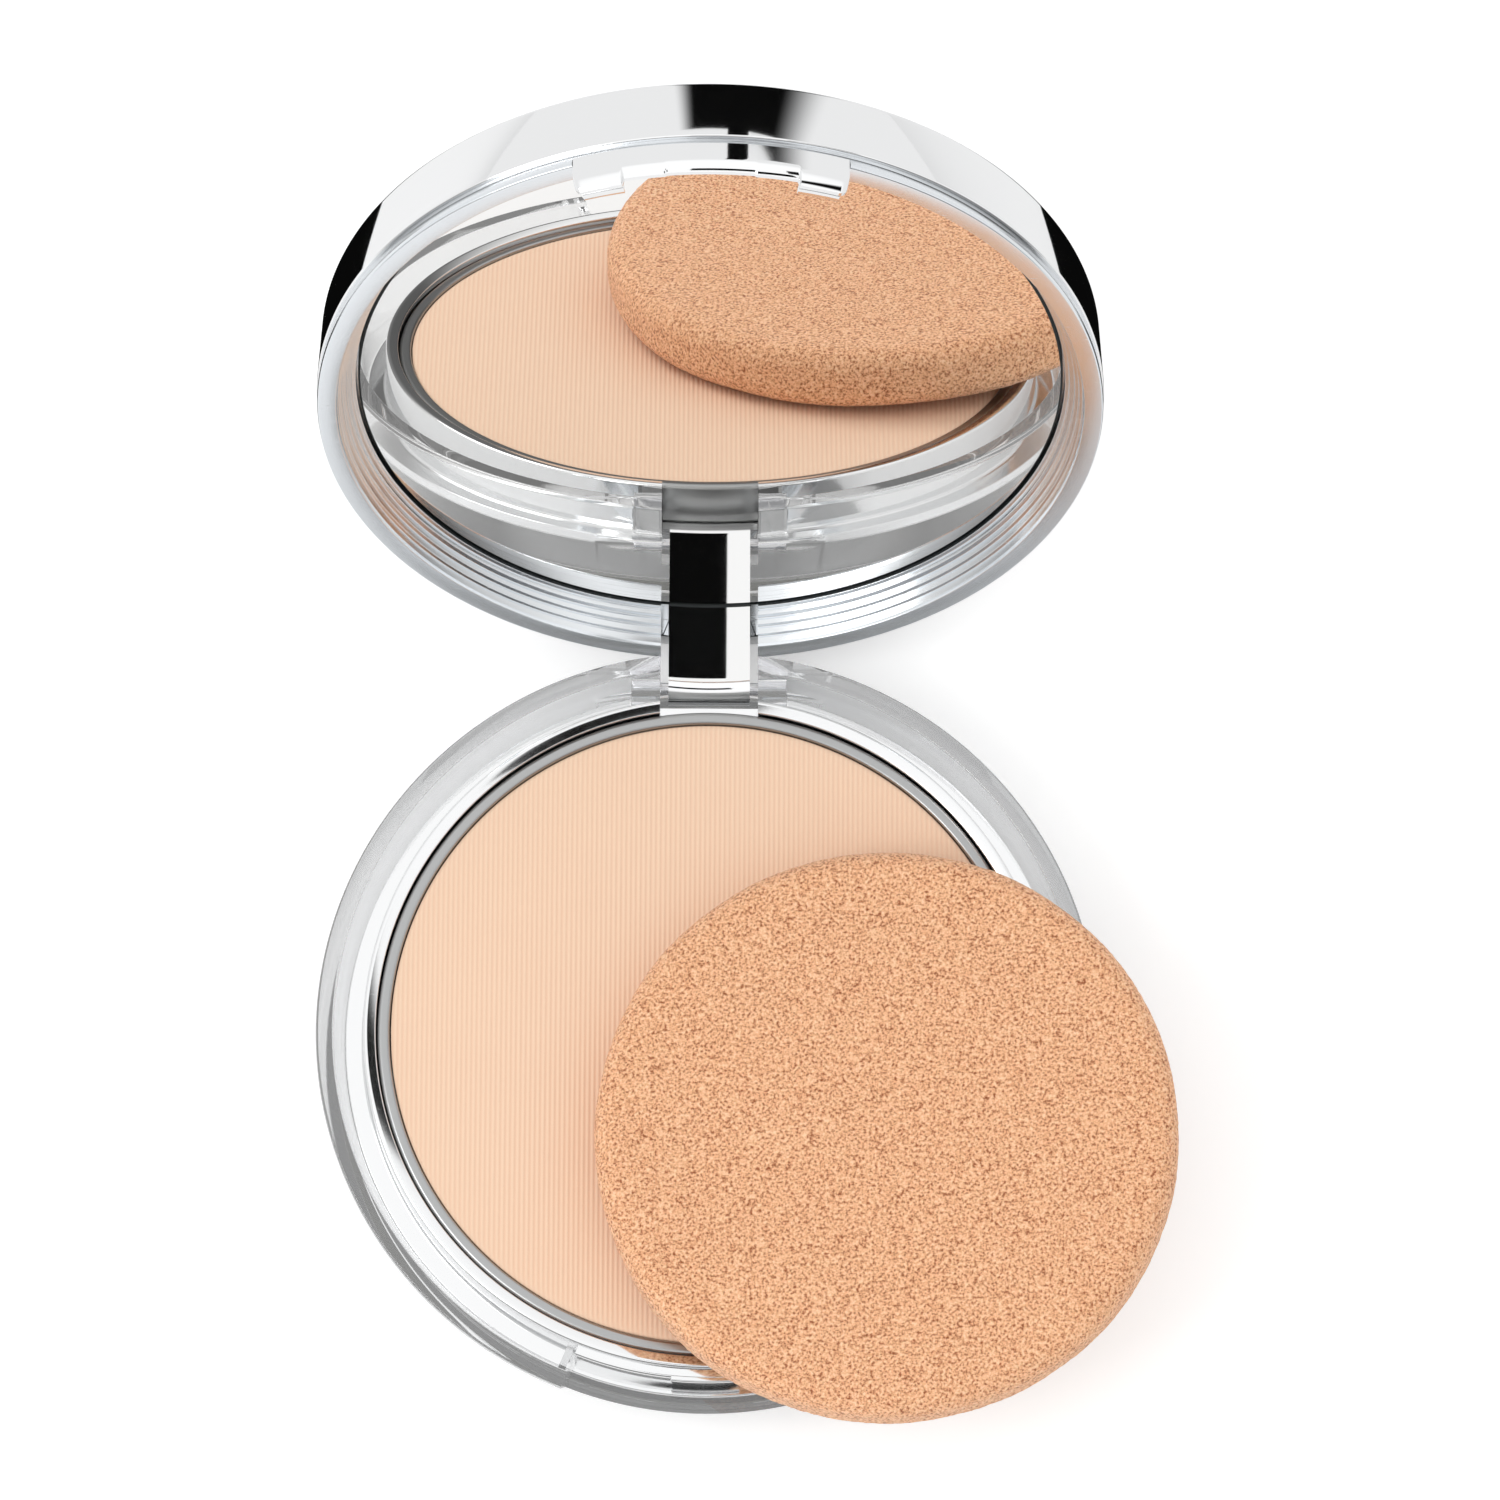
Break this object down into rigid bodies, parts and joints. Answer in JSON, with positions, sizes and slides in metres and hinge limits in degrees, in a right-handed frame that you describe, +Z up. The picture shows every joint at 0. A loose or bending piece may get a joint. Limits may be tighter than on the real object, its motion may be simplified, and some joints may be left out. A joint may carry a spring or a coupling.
{
  "type": "powder compact",
  "caption": "Round clear-based powder compact with a chrome mirror lid on a rear hinge, pressed powder in a metal pan, and a foam sponge leaning on it.",
  "frame": {"origin": "centre of the underside of the base, on the surface it stands on", "axes": "+Z up, +Y from the latch towards the hinge, +X to the right as seen from the front; the lid stands open at rest"},
  "size_m": [0.0835, 0.1172, 0.0729],
  "materials": {
    "clear_acrylic": "clear, polished injection moulding",
    "silver_plastic": "moulding with a bright silver metallised skin",
    "chrome_plastic": "moulding with a mirror-bright chrome skin",
    "pan_aluminium": "pressed sheet, satin",
    "pan_glue": "thin tacky pad",
    "pressed_powder": "dry pressed powder, matt, finely ribbed",
    "pin_steel": "ground wire",
    "label_paper": "blank satin film",
    "mirror_silvered": "silvered glass",
    "mirror_tape": "thin foam tape",
    "sponge_foam": "soft open-cell foam, matt, fine pores"
  },
  "bodies": {
    "base": {"base_case": "clear_acrylic", "inner_tray": "silver_plastic", "powder_pan": "pan_aluminium", "pan_adhesive": "pan_glue", "powder_cake": "pressed_powder", "hinge_pin": "pin_steel", "base_label": "label_paper"},
    "lid": {"lid_shell": "chrome_plastic", "lid_frame": "silver_plastic", "mirror_glass": "mirror_silvered", "mirror_adhesive": "mirror_tape", "hinge_arm": "chrome_plastic", "latch_tab": "chrome_plastic"},
    "sponge": {"sponge": "sponge_foam"}
  },
  "joints": [
    {"name": "lid_hinge", "type": "hinge", "parent": "base", "child": "lid", "pos_m": [0, 0.0356, 0.00755], "axis": [1, 0, 0], "range_deg": [0, 113.5]},
    {"name": "sponge_stow", "type": "hinge", "parent": "base", "child": "sponge", "pos_m": [0.0464, 0.0536, 0.0308], "axis": [0.195, 0.134, -0.9716], "range_deg": [0, 16.5]}
  ],
  "couplings": [
    {"joint": "sponge_stow", "follows": "lid_hinge", "ratio": 0.14537}
  ]
}
